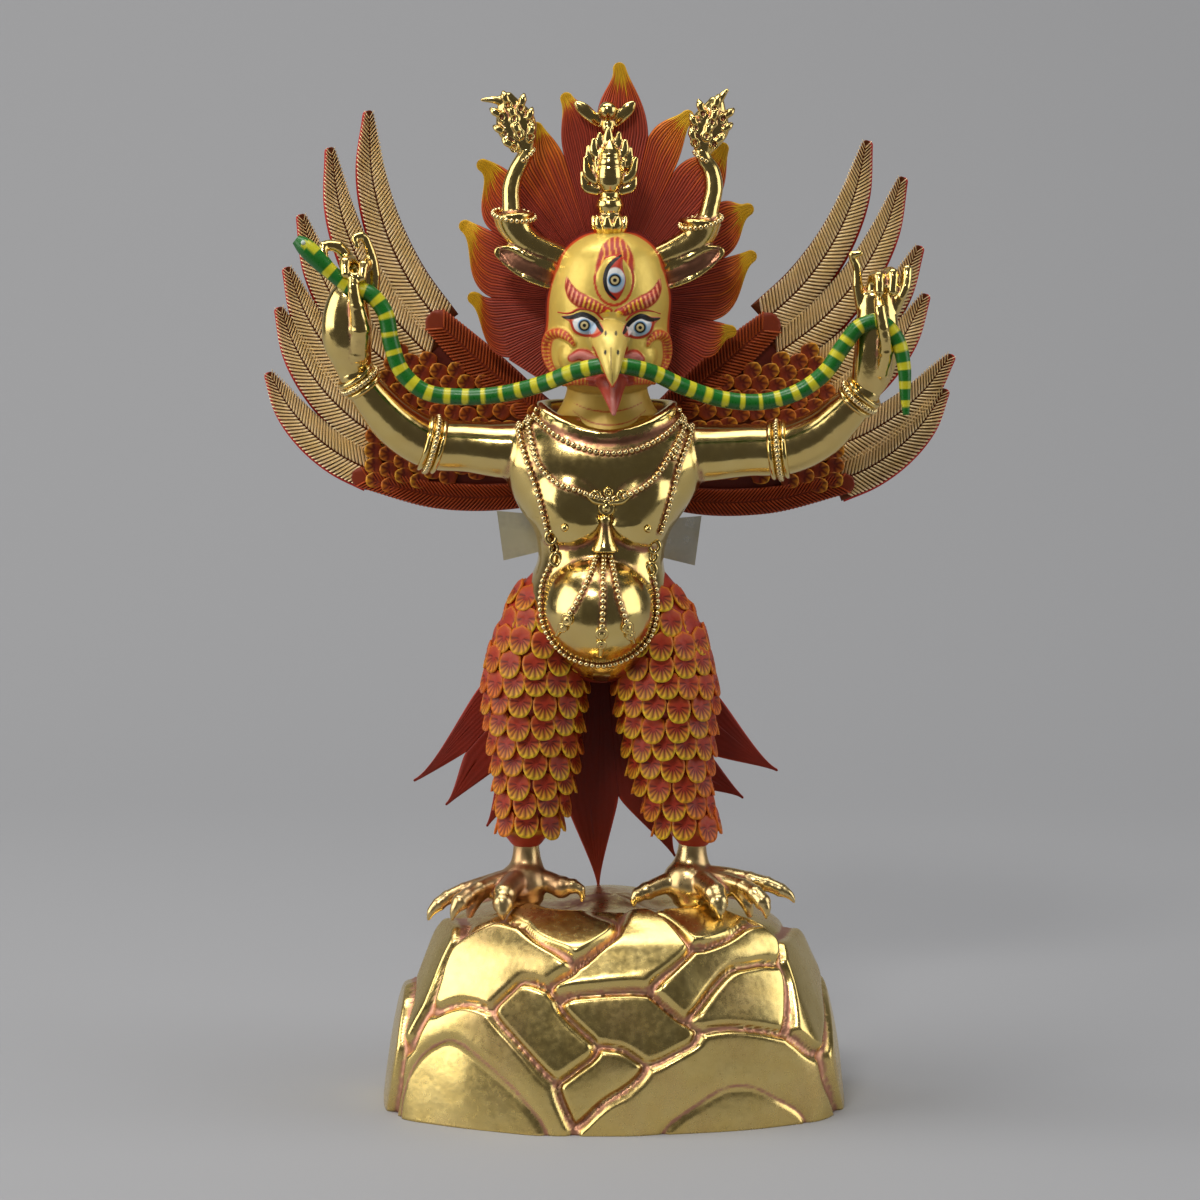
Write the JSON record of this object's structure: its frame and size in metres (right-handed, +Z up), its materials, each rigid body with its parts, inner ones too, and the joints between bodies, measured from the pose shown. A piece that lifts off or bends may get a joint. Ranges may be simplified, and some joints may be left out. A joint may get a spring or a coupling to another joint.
{
  "type": "garuda figure",
  "caption": "Standing bird deity with raised arms, spread wings and a snake in its beak, on a base of piled rock slabs.",
  "frame": {"origin": "centre of the rock base, on its flat underside", "axes": "+Z up, -Y out of the figure's face, +X to the right of somebody who looks at its front"},
  "size_m": [0.265, 0.1165, 0.3961],
  "materials": {
    "gilt": "polished gilding with copper coloured crevices",
    "face_paint": "matte gold paint with painted features",
    "flame_paint": "matte maroon paint with orange and yellow tips",
    "leg_paint": "matte red paint with yellow scale edges",
    "wing_paint": "matte orange and gold paint",
    "tail_paint": "matte dark red paint",
    "snake_paint": "glossy green paint with yellow rings",
    "film": "yellowed translucent film"
  },
  "bodies": {
    "root": {"plinth": "gilt", "body": "gilt", "head": "face_paint", "flame_mane": "flame_paint", "horn_left": "gilt", "horn_right": "gilt", "crest_jewel": "gilt", "mane_ornament": "gilt", "wing_left": "wing_paint", "wing_right": "wing_paint", "tail": "tail_paint", "snake": "snake_paint", "tape_tab_left": "film", "tape_tab_right": "film"}
  },
  "joints": []
}
